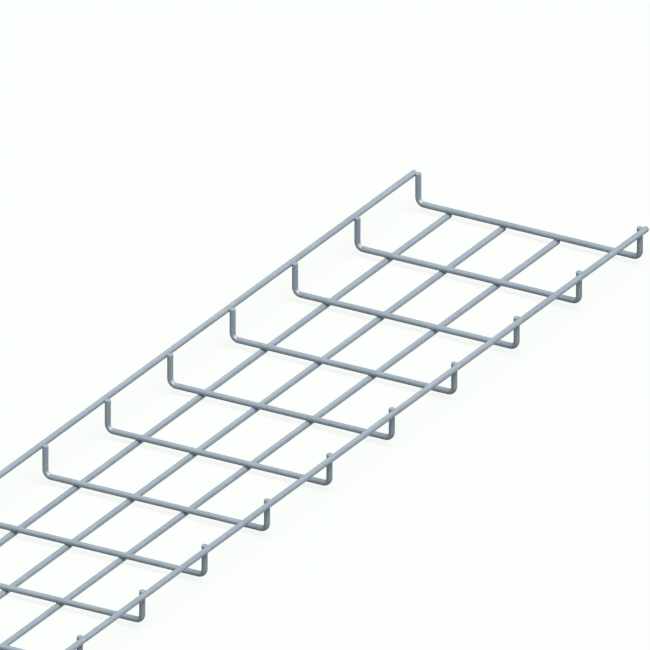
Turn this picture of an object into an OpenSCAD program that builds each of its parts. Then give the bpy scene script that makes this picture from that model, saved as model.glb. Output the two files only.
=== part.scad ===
// Straight length of welded wire mesh cable basket.
// Long wires run the whole length along Y: four under the floor and one rim
// wire outside each row of uprights.  Short cross wires, each bent once into a
// shallow U, stand on the floor wires at an even pitch and carry the rims.
// Every crossing is a resistance weld: the two wires are pressed into each other
// by the weld set-down, and the cross wire carries the shallow seat.
// Origin: middle of the footprint, on the surface that the basket lies on.
// +X across the basket, +Y along it, +Z up.

/* [Basket] */
// Length of the basket, over the end cross wires
basket_length = 3000; // [600:100:3000]
// Clear width of the channel, between the uprights
clear_width = 200; // [120:10:400]
// Overall height, from the underside of the floor wires to the top of the rims
basket_height = 35; // [30:1:120]

/* [Mesh] */
// Distance between the middles of neighbouring cross wires
cross_pitch = 100; // [80:10:200]
// Distance between the middles of neighbouring floor wires
floor_pitch = 50; // [40:1:100]

/* [Wires] */
// Diameter of the floor wires
floor_wire_d = 5; // [3:0.5:6]
// Diameter of the rim wires
rim_wire_d = 5; // [3:0.5:6]
// Diameter of the cross wires
cross_wire_d = 5; // [3:0.5:6]
// Inside radius of the two bends in a cross wire
bend_inside_r = 3; // [1.5:0.25:6]
// Height of the uprights' cut ends above the middle of the rims
tip_rise = 1.5; // [1.25:0.25:2.5]
// Bevel left round a cut and deburred wire end
end_bevel = 0.4; // [0.2:0.05:0.8]

/* [Welds] */
// Depth to which two crossing wires are pressed into each other
weld_setdown = 0.2; // [0.1:0.05:0.5]

/* [Finish] */
// Colour of the zinc plating
zinc_colour = "LightSlateGray"; // [LightSlateGray, LightSteelBlue, Silver]

/* [Hidden] */
$fn = 32;
RIGHT_ANGLE = 90;

// Radii of the wires and of the bend's middle line
floor_r = floor_wire_d / 2;
rim_r = rim_wire_d / 2;
cross_r = cross_wire_d / 2;
bend_r = bend_inside_r + cross_r;

// Heights of the wires' middle lines, and of the uprights' cut ends
floor_z = floor_r;
cross_z = floor_wire_d + cross_r - weld_setdown;
rim_z = basket_height - rim_r;
tip_z = rim_z + tip_rise;

// Distances of the uprights and of the rims from the basket's middle plane
upright_x = clear_width / 2 + cross_r;
rim_x = upright_x + cross_r + rim_r - weld_setdown;

// The cross wires sit on a regular pitch about the middle, and the two end ones
// have their outer sides flush with the long wires' ends, so that an end bay is
// between half a pitch and one and a half long
end_y = basket_length / 2;
end_cross_y = end_y - cross_r;
pitches_each_way = round(end_cross_y / cross_pitch) - 1;
last_cross = 2 * pitches_each_way + 2;
function cross_y(i) =
    i == 0 ? -end_cross_y
    : i == last_cross ? end_cross_y
    : (i - pitches_each_way - 1) * cross_pitch;

// The floor wires are spread evenly about the middle, as many as the flat run
// between the two bends has room for
flat_run = 2 * (upright_x - bend_r);
last_floor = floor((flat_run - floor_wire_d) / floor_pitch);
function floor_x(i) = (i - last_floor / 2) * floor_pitch;

function two_digits(n) = n < 10 ? str("0", n) : str(n);
floor_names = [for (i = [0 : last_floor]) str("floor_wire_", i + 1)];
cross_names = [for (i = [0 : last_cross]) str("cross_wire_", two_digits(i + 1))];

// A straight wire along +Z from the origin, with the bevel on the ends asked for
module wire(radius, length, bevel_start = true, bevel_end = true) {
    start = bevel_start ? end_bevel : 0;
    end = bevel_end ? end_bevel : 0;
    rotate_extrude()
        polygon([
            [0, 0], [radius - start, 0], [radius, start],
            [radius, length - end], [radius - end, length], [0, length]
        ]);
}

// A straight wire of the basket's whole length along Y, at a place in the section
module long_wire(radius, x, z) {
    translate([x, -end_y, z])
        rotate([-RIGHT_ANGLE, 0, 0])
            wire(radius, basket_length);
}

module floor_wire(i) {
    color(zinc_colour)
        long_wire(floor_r, floor_x(i), floor_z);
}

module rim_wire(side) {
    color(zinc_colour)
        long_wire(rim_r, side * rim_x, rim_z);
}

// The quarter bend from the floor run into the upright on the +X side
module bend() {
    translate([upright_x - bend_r, 0, cross_z + bend_r])
        rotate([RIGHT_ANGLE, 0, 0])
            rotate_extrude(angle = RIGHT_ANGLE, start = -RIGHT_ANGLE)
                translate([bend_r, 0])
                    circle(cross_r);
}

// The upright on the +X side, from the bend to its cut end
module upright() {
    bend_top = cross_z + bend_r;
    translate([upright_x, 0, bend_top])
        wire(cross_r, tip_z - bend_top, bevel_start = false);
}

// The straight run of a cross wire between its two bends
module floor_run() {
    translate([0, 0, cross_z])
        rotate([0, RIGHT_ANGLE, 0])
            cylinder(h = flat_run, r = cross_r, center = true);
}

// One cross wire bent to shape, in the plane y = 0
module bent_wire() {
    floor_run();
    for (side = [0, 1]) {
        mirror([side, 0, 0]) {
            bend();
            upright();
        }
    }
}

// The pieces of the long wires that one cross wire is pressed onto
module weld_seats() {
    seat_length = 2 * cross_wire_d;
    for (i = [0 : last_floor]) {
        translate([floor_x(i), 0, floor_z])
            rotate([RIGHT_ANGLE, 0, 0])
                cylinder(h = seat_length, r = floor_r, center = true);
    }
    for (side = [-1, 1]) {
        translate([side * rim_x, 0, rim_z])
            rotate([RIGHT_ANGLE, 0, 0])
                cylinder(h = seat_length, r = rim_r, center = true);
    }
}

module cross_wire(i) {
    color(zinc_colour)
        translate([0, cross_y(i), 0])
            difference() {
                bent_wire();
                weld_seats();
            }
}

rim_wire(-1);  // rim_wire_left
rim_wire(1);  // rim_wire_right
for (i = [0 : last_floor]) {
    floor_wire(i);
}
for (i = [0 : last_cross]) {
    cross_wire(i);
}
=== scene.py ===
import math
import random

import bmesh
import bpy
from mathutils import Matrix, Vector, noise


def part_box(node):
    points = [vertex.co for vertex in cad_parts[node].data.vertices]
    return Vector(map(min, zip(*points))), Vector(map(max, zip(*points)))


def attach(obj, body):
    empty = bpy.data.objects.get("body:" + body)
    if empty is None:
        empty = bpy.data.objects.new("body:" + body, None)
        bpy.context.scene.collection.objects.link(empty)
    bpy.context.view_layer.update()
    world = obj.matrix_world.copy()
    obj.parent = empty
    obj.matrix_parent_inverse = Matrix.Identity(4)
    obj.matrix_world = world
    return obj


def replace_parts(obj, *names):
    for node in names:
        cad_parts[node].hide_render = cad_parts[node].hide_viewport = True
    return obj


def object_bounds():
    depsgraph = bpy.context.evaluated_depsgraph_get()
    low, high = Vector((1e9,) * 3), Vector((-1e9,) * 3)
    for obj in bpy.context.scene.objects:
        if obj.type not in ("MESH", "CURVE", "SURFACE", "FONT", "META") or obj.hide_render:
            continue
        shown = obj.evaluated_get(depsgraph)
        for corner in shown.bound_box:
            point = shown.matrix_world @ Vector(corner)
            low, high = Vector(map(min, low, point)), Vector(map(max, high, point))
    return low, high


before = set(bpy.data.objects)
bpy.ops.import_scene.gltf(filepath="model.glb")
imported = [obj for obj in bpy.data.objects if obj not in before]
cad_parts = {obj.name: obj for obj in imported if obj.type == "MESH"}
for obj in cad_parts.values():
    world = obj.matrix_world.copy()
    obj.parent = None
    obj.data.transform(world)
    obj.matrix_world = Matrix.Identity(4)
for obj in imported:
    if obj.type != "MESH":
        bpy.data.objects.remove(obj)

# Everything is in metres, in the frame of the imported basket: +Y runs along it, +Z is up.
CAD_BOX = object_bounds()
MM = 0.001
RIGHT_ANGLE = math.pi / 2
UP = Vector((0, 0, 1))
ACROSS = Vector((1, 0, 0))
ALONG = Vector((0, 1, 0))

# Wires
SIDES = 32
BEND_INSIDE_R = 3 * MM
BEND_STEPS = 10
BEND_FLATTENING = 0.05
END_BEVEL = 0.4 * MM
END_BEVEL_STEPS = 3
RING_CLEARANCE = 2 * END_BEVEL
SHEAR_TILT = math.radians(3)
SHEAR_SEED = 7
SHARP_ANGLE = math.radians(50)

# Welds
WELD_STOPS = [stop * MM for stop in (-6, -3.5, -2.5, -1.2, 0, 1.2, 2.5, 3.5, 6)]
MARK_LENGTH = 7 * MM
MARK_RUN_OUT = 1 * MM
MARK_DEPTH = 0.14 * MM
HEAT_REACH = 6 * MM
HEAT_AT_SIDE = 0.6
BEAD_SEGMENTS = 12
BEAD_RINGS = 4
BEAD_SPREAD = 2.1 * MM
BEAD_THICKNESS = 1.15 * MM
BEAD_UNEVENNESS = 0.2
BEAD_LUMPS = 1.7
BEAD_WAIST = 0.15

# Colours, linear
ZINC = (0.385, 0.463, 0.53)
ZINC_DEEP = (0.33, 0.403, 0.47)
ZINC_PALE = (0.46, 0.53, 0.59)
# Pale colour for the inside of the bends: partly burnished zinc, partly a painted highlight
ZINC_BURNISHED_AND_PAINTED_HIGHLIGHT = (0.66, 0.72, 0.77)
HEATED_ZINC = (0.31, 0.38, 0.435)
SHEARED_STEEL = (0.43, 0.49, 0.54)
STUDIO_WHITE = (0.973, 1.0, 0.973)
BOUNCE_GREY = (0.02, 0.02, 0.02)

# Finish: each noise's own span, what it is spread to, and the depth of the relief
METALLIC = 0.12
SPECULAR = 0.3
WHOLE_SPAN = (0.0, 1.0)
CLOUD_SPAN = (0.35, 0.65)
FLECK_SPAN = (0.3, 0.7)
STREAK_SPAN = (0.52, 0.75)
STREAK_SHARE = (0.0, 0.8)
STREAKS_PER_LINE = 0.35
RAGS_PER_METRE = 900
# Span and share of the pale inner-bend colour, a painted highlight as well as burnish; the smoothing
# below only lowers roughness
BURNISH_AND_PAINTED_HIGHLIGHT_SPAN = (0.35, 1.0)
BURNISH_AND_PAINTED_HIGHLIGHT_SHARE = (0.0, 0.8)
BURNISH_SMOOTHING = 0.12
HEAT_TINT = 0.35
HEAT_DULLING = 0.18
WIRE_ROUGHNESS = (0.40, 0.50)
BEAD_ROUGHNESS = (0.5, 0.65)
END_ROUGHNESS = (0.42, 0.55)
DRAW_MARK_RELIEF = 0.04 * MM
WIRE_PIT_RELIEF = 0.05 * MM
BEAD_PIT_RELIEF = 0.15 * MM
TEAR_RELIEF = 0.05 * MM

# The sockets of a Mix node that take and give colours
MIX_FIRST = 6
MIX_SECOND = 7
MIX_RESULT = 2

# Camera and light
CAMERA_AZIMUTH = math.radians(30)
CAMERA_ELEVATION = math.radians(24.93)
PICTURE_WIDTH = 0.5208
AIM_LEFT_OF_MIDDLE = 60 * MM
AIM_BEFORE_FAR_END = 225.6 * MM
AIM_ABOVE_FLOOR = -0.54 * MM
CAMERA_DISTANCE = 4.0
SKY_STRENGTH = 0.1
LAMP_STRENGTH = 3.2
LAMP_WIDTH = math.radians(60)
LAMP_SIDE = Vector((0.40, -0.26, 0.88))
FLOOR_SIZE = 16.0
FLOOR_GLOW = 0.86

RIM_NAMES = sorted(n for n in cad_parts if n.startswith("rim_wire"))
FLOOR_NAMES = sorted(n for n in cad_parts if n.startswith("floor_wire"))
CROSS_NAMES = sorted(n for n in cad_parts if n.startswith("cross_wire"))


# ---------------------------------------------------------------- shader nodes

def add(tree, kind, feeds=None, **settings):
    """Adds a shader node; feeds gives its inputs a value or another node's output."""
    made = tree.nodes.new("ShaderNode" + kind)
    for name, value in settings.items():
        setattr(made, name, value)
    for name, value in (feeds or {}).items():
        if isinstance(value, bpy.types.NodeSocket):
            tree.links.new(value, made.inputs[name])
        else:
            made.inputs[name].default_value = value
    return made


def new_group(name, inputs, outputs):
    """A node group with named number inputs, each with its usual value, and outputs."""
    tree = bpy.data.node_groups.new(name, "ShaderNodeTree")
    for label, usual in inputs.items():
        socket = tree.interface.new_socket(label, in_out="INPUT", socket_type="NodeSocketFloat")
        socket.default_value = usual
    for label in outputs:
        tree.interface.new_socket(label, in_out="OUTPUT", socket_type="NodeSocketFloat")
    return tree, tree.nodes.new("NodeGroupInput").outputs, tree.nodes.new("NodeGroupOutput")


def use_group(tree, group, feeds=None):
    """Places a node group in a material."""
    made = tree.nodes.new("ShaderNodeGroup")
    made.node_tree = group
    for name, value in (feeds or {}).items():
        made.inputs[name].default_value = value
    return made.outputs


def cloudy_plating_group():
    """The slow clouds and the small flecks of a plated skin."""
    tree, given, result = new_group(
        "cloudy_plating", {"Clouds per Metre": 45, "Flecks per Metre": 700}, ["Cloud", "Fleck"])
    place = add(tree, "TexCoord").outputs["Object"]
    clouds = add(tree, "TexNoise", {
        "Vector": place, "Scale": given["Clouds per Metre"], "Detail": 3.0, "Roughness": 0.55})
    flecks = add(tree, "TexNoise", {
        "Vector": place, "Scale": given["Flecks per Metre"], "Detail": 2.0, "Roughness": 0.6})
    tree.links.new(clouds.outputs[0], result.inputs["Cloud"])
    tree.links.new(flecks.outputs[0], result.inputs["Fleck"])
    return tree


def draw_marks_group():
    """The long fine lines that the drawing die leaves on a wire, and where they fade."""
    tree, given, result = new_group(
        "draw_marks", {"Lines per Metre": 1900, "Changes per Metre": 9}, ["Lines", "Streaks"])
    wire = add(tree, "Attribute", attribute_name="straight_wire").outputs["Vector"]
    stretch = add(tree, "CombineXYZ", {
        "X": given["Changes per Metre"], "Y": given["Lines per Metre"], "Z": given["Lines per Metre"]})
    fine = add(tree, "VectorMath", {0: wire, 1: stretch.outputs[0]}, operation="MULTIPLY")
    lines = add(tree, "TexNoise", {
        "Vector": fine.outputs[0], "Scale": 1.0, "Detail": 2.0, "Roughness": 0.5})
    broad = add(tree, "VectorMath", {0: fine.outputs[0], "Scale": STREAKS_PER_LINE}, operation="SCALE")
    streaks = add(tree, "TexNoise", {
        "Vector": broad.outputs[0], "Scale": 1.0, "Detail": 1.0, "Roughness": 0.5})
    tree.links.new(lines.outputs[0], result.inputs["Lines"])
    tree.links.new(streaks.outputs[0], result.inputs["Streaks"])
    return tree


def weld_bloom_group():
    """How far the heat of the welds has dulled the zinc, with a ragged edge."""
    tree, given, result = new_group("weld_bloom", {"Raggedness": 0.5}, ["Bloom"])
    heat = add(tree, "Attribute", attribute_name="weld_heat").outputs["Fac"]
    place = add(tree, "TexCoord").outputs["Object"]
    rag = add(tree, "TexNoise", {"Vector": place, "Scale": RAGS_PER_METRE, "Detail": 2.0})
    centred = add(tree, "Math", {0: rag.outputs[0], 1: 0.5}, operation="SUBTRACT")
    spread = add(tree, "Math", {0: centred.outputs[0], 1: given["Raggedness"]}, operation="MULTIPLY")
    broken = add(tree, "Math", {0: spread.outputs[0], 1: 1.0}, operation="ADD")
    bloom = add(tree, "Math", {0: heat, 1: broken.outputs[0]}, operation="MULTIPLY", use_clamp=True)
    tree.links.new(bloom.outputs[0], result.inputs["Bloom"])
    return tree


def new_material(name):
    """A node material, its tree and its shader."""
    made = bpy.data.materials.new(name)
    made.use_nodes = True
    return made, made.node_tree, made.node_tree.nodes["Principled BSDF"]


def new_zinc(name):
    """A node material with the plain sheen that every zinc finish here shares."""
    made, tree, shader = new_material(name)
    shader.inputs["Metallic"].default_value = METALLIC
    shader.inputs["Specular IOR Level"].default_value = SPECULAR
    return made, tree, shader


def mix_colours(tree, share, first, second):
    """One colour or another, by a share from 0 to 1."""
    made = add(tree, "Mix", {"Factor": share}, data_type="RGBA")
    for number, colour in ((MIX_FIRST, first), (MIX_SECOND, second)):
        if isinstance(colour, bpy.types.NodeSocket):
            tree.links.new(colour, made.inputs[number])
        else:
            made.inputs[number].default_value = (*colour, 1)
    return made.outputs[MIX_RESULT]


def spread_values(tree, value, span, wanted):
    """Values of one span carried over to another; a span is its low and its high end."""
    made = add(tree, "MapRange", {
        "Value": value, "From Min": span[0], "From Max": span[1],
        "To Min": wanted[0], "To Max": wanted[1]})
    return made.outputs[0]


def zinc_wire_material(groups):
    """Satin zinc on drawn wire: cloudy, with draw marks, duller round the welds, and pale on the
    inside of its bends, partly burnish and partly a painted highlight.
    """
    made, tree, shader = new_zinc("zinc_plated_drawn_wire")
    plating = use_group(tree, groups["plating"])
    marks = use_group(tree, groups["marks"])
    bloom = use_group(tree, groups["bloom"])["Bloom"]
    bend = add(tree, "Attribute", attribute_name="bend_inside").outputs["Fac"]

    cloud = spread_values(tree, plating["Cloud"], CLOUD_SPAN, WHOLE_SPAN)
    cloudy = mix_colours(tree, cloud, ZINC_DEEP, ZINC)
    streak = spread_values(tree, marks["Streaks"], STREAK_SPAN, STREAK_SHARE)
    streaked = mix_colours(tree, streak, cloudy, ZINC_PALE)
    heated = add(tree, "Math", {0: bloom, 1: HEAT_TINT}, operation="MULTIPLY").outputs[0]
    welded = mix_colours(tree, heated, streaked, HEATED_ZINC)
    # Inside of each bend turned pale: burnish from the bending pin, and a painted highlight
    burnish_and_painted_highlight = spread_values(tree, bend, BURNISH_AND_PAINTED_HIGHLIGHT_SPAN, BURNISH_AND_PAINTED_HIGHLIGHT_SHARE)
    tree.links.new(mix_colours(tree, burnish_and_painted_highlight, welded, ZINC_BURNISHED_AND_PAINTED_HIGHLIGHT), shader.inputs["Base Color"])

    satin = spread_values(tree, plating["Fleck"], FLECK_SPAN, WIRE_ROUGHNESS)
    dulled = add(tree, "Math", {0: bloom, 1: HEAT_DULLING, 2: satin}, operation="MULTIPLY_ADD")
    bent = add(tree, "Math", {
        0: bend, 1: -BURNISH_SMOOTHING, 2: dulled.outputs[0]}, operation="MULTIPLY_ADD")
    tree.links.new(bent.outputs[0], shader.inputs["Roughness"])

    drawn = add(tree, "Bump", {
        "Height": marks["Lines"], "Distance": DRAW_MARK_RELIEF, "Strength": 0.5})
    pitted = add(tree, "Bump", {
        "Height": plating["Fleck"], "Distance": WIRE_PIT_RELIEF, "Strength": 0.35,
        "Normal": drawn.outputs[0]})
    tree.links.new(pitted.outputs[0], shader.inputs["Normal"])
    return made


def weld_bead_material(groups):
    """The rough little collar of metal squeezed out of a weld, plated over."""
    made, tree, shader = new_zinc("plated_weld_bead")
    plating = use_group(tree, groups["plating"], {"Clouds per Metre": 500, "Flecks per Metre": 1600})
    shade = spread_values(tree, plating["Cloud"], CLOUD_SPAN, WHOLE_SPAN)
    tree.links.new(mix_colours(tree, shade, HEATED_ZINC, ZINC), shader.inputs["Base Color"])
    rough = spread_values(tree, plating["Fleck"], FLECK_SPAN, BEAD_ROUGHNESS)
    tree.links.new(rough, shader.inputs["Roughness"])
    pitted = add(tree, "Bump", {
        "Height": plating["Fleck"], "Distance": BEAD_PIT_RELIEF, "Strength": 0.6})
    tree.links.new(pitted.outputs[0], shader.inputs["Normal"])
    return made


def sheared_end_material(groups):
    """A wire's cut end: brighter metal with the tear lines of the shear."""
    made, tree, shader = new_zinc("sheared_wire_end")
    plating = use_group(tree, groups["plating"], {"Clouds per Metre": 600, "Flecks per Metre": 2500})
    wire = add(tree, "Attribute", attribute_name="straight_wire").outputs["Vector"]
    tears = add(tree, "TexWave", {
        "Vector": wire, "Scale": 700.0, "Distortion": 3.0, "Detail": 2.0}, bands_direction="Y")
    shade = spread_values(tree, plating["Cloud"], CLOUD_SPAN, WHOLE_SPAN)
    tree.links.new(mix_colours(tree, shade, ZINC_DEEP, SHEARED_STEEL), shader.inputs["Base Color"])
    rough = spread_values(tree, plating["Fleck"], FLECK_SPAN, END_ROUGHNESS)
    tree.links.new(rough, shader.inputs["Roughness"])
    torn = add(tree, "Bump", {
        "Height": tears.outputs["Fac"], "Distance": TEAR_RELIEF, "Strength": 0.5})
    tree.links.new(torn.outputs[0], shader.inputs["Normal"])
    return made


# ---------------------------------------------------------------- wires

def smooth_step(value):
    """From 0 to 1 with level ends."""
    held = min(1.0, max(0.0, value))
    return held * held * (3 - 2 * held)


def object_from(mesh, name, materials):
    """A finished object at the origin, smooth where it is round."""
    data = bpy.data.meshes.new(name)
    mesh.to_mesh(data)
    mesh.free()
    for material in materials:
        data.materials.append(material)
    data.shade_smooth()
    data.set_sharp_from_angle(angle=SHARP_ANGLE)
    made = bpy.data.objects.new(name, data)
    bpy.context.scene.collection.objects.link(made)
    return made


class DrawnWire:
    """A round wire, made as it is drawn: the end face is extruded along the run.

    welds lists (distance along the wire, side that the electrode pressed on).  Each
    point also keeps where it lay in the straight wire, so that the finish follows the
    wire round its bends, how much a weld heated it, and how tightly a bend squeezed it."""

    def __init__(self, start, heading, radius, welds):
        self.mesh = bmesh.new()
        self.straight = self.mesh.verts.layers.float_vector.new("straight_wire")
        self.heat = self.mesh.verts.layers.float.new("weld_heat")
        self.bent = self.mesh.verts.layers.float.new("bend_inside")
        self.radius, self.welds = radius, welds
        self.centre, self.heading, self.drawn = start.copy(), heading.copy(), 0.0
        facing = heading.to_track_quat("Z", "Y").to_matrix().to_4x4()
        bmesh.ops.create_circle(
            self.mesh, cap_ends=True, radius=radius, segments=SIDES,
            matrix=Matrix.Translation(start) @ facing)
        self.ring = list(self.mesh.verts)
        self.face = next(iter(self.mesh.faces))
        for vert in self.ring:
            section = facing.inverted() @ (vert.co - start)
            vert[self.straight] = (0, section.x, section.y)
        self.rings = [(0.0, start.copy(), self.ring)]

    def extrude(self):
        """Starts a new ring in the place of the newest one."""
        grown = bmesh.ops.extrude_face_region(self.mesh, geom=[self.face])["geom"]
        self.ring = [part for part in grown if isinstance(part, bmesh.types.BMVert)]
        self.face = next(part for part in grown if isinstance(part, bmesh.types.BMFace))

    def close_ring(self):
        """Notes where the newest ring lies."""
        for vert in self.ring:
            vert[self.straight].x = self.drawn
            vert[self.bent] = 0
        self.rings.append((self.drawn, self.centre.copy(), self.ring))

    def draw_to(self, distance):
        """Draws the wire straight on, with rings where the welds on the way need them."""
        stops = {place + stop for place, _ in self.welds for stop in WELD_STOPS}
        first, last = self.drawn + RING_CLEARANCE, distance - RING_CLEARANCE
        for stop in [*sorted(s for s in stops if first < s < last), distance]:
            self.extrude()
            step = self.heading * (stop - self.drawn)
            bmesh.ops.translate(self.mesh, verts=self.ring, vec=step)
            self.centre += step
            self.drawn = stop
            self.close_ring()

    def turn(self, towards, line_radius):
        """Bends the wire by a right angle; the section flattens a little on the way."""
        pivot = self.centre + towards * line_radius
        axis = self.heading.cross(towards)
        turned = Matrix.Rotation(RIGHT_ANGLE / BEND_STEPS, 3, axis)
        flatness = 1.0
        for number in range(1, BEND_STEPS + 1):
            self.extrude()
            bmesh.ops.rotate(self.mesh, verts=self.ring, cent=pivot, matrix=turned)
            self.centre = pivot + turned @ (self.centre - pivot)
            self.heading = turned @ self.heading
            self.drawn += line_radius * RIGHT_ANGLE / BEND_STEPS
            bend = math.sin(math.pi * number / BEND_STEPS)
            inwards = (pivot - self.centre).normalized()
            wanted = 1 - BEND_FLATTENING * bend
            self.close_ring()
            for vert in self.ring:
                depth = (vert.co - self.centre).dot(inwards)
                vert.co += inwards * depth * (wanted / flatness - 1)
                # How far inside the bend a point lies; the wire material paints its pale inner-bend
                # colour from this, partly burnish and partly a painted highlight
                vert[self.bent] = bend * depth / self.radius
            flatness = wanted

    def press_welds(self):
        """Flattens the wire where the electrodes pressed, and notes the welds' heat."""
        for drawn, centre, ring in self.rings:
            place, electrode = min(self.welds, key=lambda weld: abs(weld[0] - drawn))
            off = abs(place - drawn)
            depth = MARK_DEPTH * smooth_step((MARK_LENGTH / 2 - off) / MARK_RUN_OUT)
            heat = smooth_step(1 - off / HEAT_REACH)
            for vert in ring:
                side = (vert.co - centre).dot(electrode)
                vert[self.heat] = heat * (HEAT_AT_SIDE - (1 - HEAT_AT_SIDE) * side / self.radius)
                vert.co -= electrode * max(0.0, side - (self.radius - depth))

    def shear_ends(self, leans):
        """Tilts the two cut ends, each towards its own side, and breaks their edges."""
        ends = (self.rings[0], self.rings[-1])
        inwards = (self.rings[1][1] - ends[0][1], self.rings[-2][1] - ends[1][1])
        for (_, centre, ring), back, lean in zip(ends, inwards, leans):
            for vert in ring:
                reach = self.radius + (vert.co - centre).dot(lean)
                vert.co += back.normalized() * reach * math.tan(SHEAR_TILT)
        caps = [face for face in self.mesh.faces if len(face.verts) == SIDES]
        for cap in caps:
            cap.material_index = 1
        bmesh.ops.bevel(
            self.mesh, geom=[edge for cap in caps for edge in cap.edges], affect="EDGES",
            offset=END_BEVEL, segments=END_BEVEL_STEPS, profile=0.5, material=-1)

    def finish(self, name, leans, materials):
        """The finished wire, in the place of the plain one in the frame."""
        self.press_welds()
        self.shear_ends(leans)
        made = object_from(self.mesh, name, materials)
        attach(made, "root")
        return made


def section_of(node):
    """The middle of a long wire, and its radius."""
    low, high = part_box(node)
    return (low + high) / 2, (high.z - low.z) / 2


def some_side(heading, chance):
    """A side of the wire, square to its heading, that differs from cut to cut."""
    turned = Matrix.Rotation(chance.uniform(0, math.tau), 3, heading)
    return turned @ heading.orthogonal().normalized()


def make_long_wire(name, electrode, cross_places, chance, materials):
    """A floor or rim wire, straight from end to end."""
    low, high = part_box(name)
    centre, radius = section_of(name)
    welds = [(place - low.y, electrode) for place in cross_places]
    wire = DrawnWire(Vector((centre.x, low.y, centre.z)), ALONG, radius, welds)
    wire.draw_to(high.y - low.y)
    leans = [some_side(ALONG, chance) for _ in range(2)]
    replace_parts(wire.finish(name + "_drawn", leans, materials), name)


def make_cross_wire(name, rim_z, floor_places, chance, materials):
    """A cross wire: down the left upright, over the floor wires, up the right upright."""
    low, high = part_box(name)
    centre, radius = (low + high) / 2, (high.y - low.y) / 2
    upright_x = high.x - radius
    bend_r = BEND_INSIDE_R + radius
    upright = high.z - (low.z + radius + bend_r)
    run_start = upright + bend_r * RIGHT_ANGLE
    run_end = run_start + 2 * (upright_x - bend_r)
    end = run_end + run_start
    rim_weld = high.z - rim_z
    welds = [(run_start + place + upright_x - bend_r, UP) for place in floor_places]
    welds += [(rim_weld, ACROSS), (end - rim_weld, -ACROSS)]

    wire = DrawnWire(Vector((-upright_x, centre.y, high.z)), -UP, radius, welds)
    wire.draw_to(upright)
    wire.turn(ACROSS, bend_r)
    wire.draw_to(run_end)
    wire.turn(UP, bend_r)
    wire.draw_to(end)
    leans = [some_side(UP, chance) for _ in range(2)]
    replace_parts(wire.finish(name + "_bent", leans, materials), name)


def crossings():
    """Each weld's place, and the direction from the long wire to the cross wire."""
    found = []
    for cross in CROSS_NAMES:
        low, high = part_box(cross)
        place_y = (low.y + high.y) / 2
        for name in FLOOR_NAMES:
            centre, radius = section_of(name)
            seam_z = (centre.z + radius + low.z) / 2
            found.append((Vector((centre.x, place_y, seam_z)), UP))
        for name in RIM_NAMES:
            centre, radius = section_of(name)
            side = math.copysign(1, centre.x)
            seam_x = (centre.x - side * radius + side * high.x) / 2
            found.append((Vector((seam_x, place_y, centre.z)), -side * ACROSS))
    return found


def make_weld_beads(name, material):
    """The collars of squeezed metal in the corners of every crossing, as one piece."""
    beads = bmesh.new()
    for number, (place, normal) in enumerate(crossings()):
        bead = bmesh.ops.create_uvsphere(
            beads, u_segments=BEAD_SEGMENTS, v_segments=BEAD_RINGS, radius=1)["verts"]
        for vert in bead:
            corner = abs(2 * vert.co.x * vert.co.y)
            rough = noise.noise(vert.co * BEAD_LUMPS + number * ACROSS)
            swell = 1 - BEAD_UNEVENNESS * (0.5 + 0.5 * rough) - BEAD_WAIST * (1 - corner)
            vert.co = swell * Vector((
                vert.co.x * BEAD_SPREAD, vert.co.y * BEAD_SPREAD, vert.co.z * BEAD_THICKNESS))
        facing = normal.to_track_quat("Z", "Y").to_matrix().to_4x4()
        bmesh.ops.transform(beads, verts=bead, matrix=Matrix.Translation(place) @ facing)
    made = object_from(beads, name, [material])
    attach(made, "root")


# ---------------------------------------------------------------- studio

def seen_directly(tree):
    """1 where the camera, a reflection or clear glass looks, and 0 for other light."""
    rays = add(tree, "LightPath").outputs
    either = add(tree, "Math", {0: rays["Is Camera Ray"], 1: rays["Is Glossy Ray"]},
                 operation="MAXIMUM")
    return add(tree, "Math", {0: either.outputs[0], 1: rays["Is Transmission Ray"]},
               operation="MAXIMUM").outputs[0]


def make_floor():
    """A pale floor: white to look at, keeping the shadow, and grey to the light it returns."""
    tiles = bmesh.new()
    bmesh.ops.create_grid(tiles, x_segments=1, y_segments=1, size=FLOOR_SIZE / 2)
    material, tree, shader = new_material("studio_floor")
    tree.nodes.remove(shader)
    seen = seen_directly(tree)
    paint = add(tree, "BsdfDiffuse", {"Color": mix_colours(tree, seen, BOUNCE_GREY, STUDIO_WHITE)})
    glow = add(tree, "Emission", {"Color": (*STUDIO_WHITE, 1), "Strength": 1.0})
    share = add(tree, "Math", {0: seen, 1: FLOOR_GLOW}, operation="MULTIPLY").outputs[0]
    mixed = add(tree, "MixShader", {0: share, 1: paint.outputs[0], 2: glow.outputs[0]})
    tree.links.new(mixed.outputs[0], tree.nodes["Material Output"].inputs["Surface"])
    object_from(tiles, "studio_floor", [material])


def make_world():
    """An even sky, white to look at."""
    world = bpy.data.worlds.new("studio")
    world.use_nodes = True
    tree = world.node_tree
    light = tree.nodes["Background"]
    light.inputs["Color"].default_value = (1, 1, 1, 1)
    light.inputs["Strength"].default_value = SKY_STRENGTH
    white = add(tree, "Background", {"Color": (*STUDIO_WHITE, 1), "Strength": 1.0})
    mixed = add(tree, "MixShader", {
        0: seen_directly(tree), 1: light.outputs[0], 2: white.outputs[0]})
    tree.links.new(mixed.outputs[0], tree.nodes["World Output"].inputs["Surface"])
    bpy.context.scene.world = world


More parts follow.
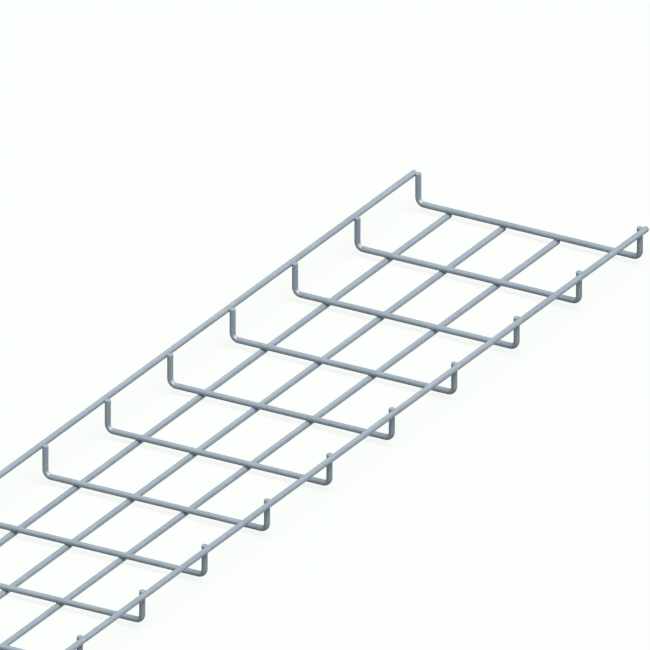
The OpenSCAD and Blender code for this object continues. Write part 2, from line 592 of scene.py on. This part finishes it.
def make_lamp():
    """One broad lamp overhead, a little to the right of the basket and in front."""
    lamp = bpy.data.lights.new("overhead_lamp", "SUN")
    lamp.energy = LAMP_STRENGTH
    lamp.angle = LAMP_WIDTH
    hung = bpy.data.objects.new("overhead_lamp", lamp)
    hung.rotation_mode = "QUATERNION"
    hung.rotation_quaternion = LAMP_SIDE.to_track_quat("Z", "Y")
    bpy.context.scene.collection.objects.link(hung)


def make_camera():
    """Looks down along the basket at its far end, with no perspective."""
    lens = bpy.data.cameras.new("camera")
    lens.type = "ORTHO"
    lens.ortho_scale = PICTURE_WIDTH
    held = bpy.data.objects.new("camera", lens)
    back = Vector((
        math.sin(CAMERA_AZIMUTH) * math.cos(CAMERA_ELEVATION),
        -math.cos(CAMERA_AZIMUTH) * math.cos(CAMERA_ELEVATION),
        math.sin(CAMERA_ELEVATION)))
    far_end = CAD_BOX[1].y
    aim = Vector((-AIM_LEFT_OF_MIDDLE, far_end - AIM_BEFORE_FAR_END, AIM_ABOVE_FLOOR))
    held.location = aim + back * CAMERA_DISTANCE
    held.rotation_mode = "QUATERNION"
    held.rotation_quaternion = (-back).to_track_quat("-Z", "Y")
    bpy.context.scene.collection.objects.link(held)
    bpy.context.scene.camera = held


# ---------------------------------------------------------------- the basket

def build_basket():
    """Every wire in its finish, and the beads of the welds that join them."""
    groups = {
        "plating": cloudy_plating_group(),
        "marks": draw_marks_group(),
        "bloom": weld_bloom_group(),
    }
    wire_materials = [zinc_wire_material(groups), sheared_end_material(groups)]
    chance = random.Random(SHEAR_SEED)

    cross_places = [sum(corner.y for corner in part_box(name)) / 2 for name in CROSS_NAMES]
    floor_places = [section_of(name)[0].x for name in FLOOR_NAMES]
    rim_z = section_of(RIM_NAMES[0])[0].z
    for name in FLOOR_NAMES:
        make_long_wire(name, -UP, cross_places, chance, wire_materials)
    for name in RIM_NAMES:
        outwards = ACROSS * math.copysign(1, section_of(name)[0].x)
        make_long_wire(name, outwards, cross_places, chance, wire_materials)
    for name in CROSS_NAMES:
        make_cross_wire(name, rim_z, floor_places, chance, wire_materials)
    make_weld_beads("weld_beads", weld_bead_material(groups))


build_basket()
make_floor()
make_world()
make_lamp()
make_camera()
bpy.context.scene.view_settings.view_transform = "Standard"
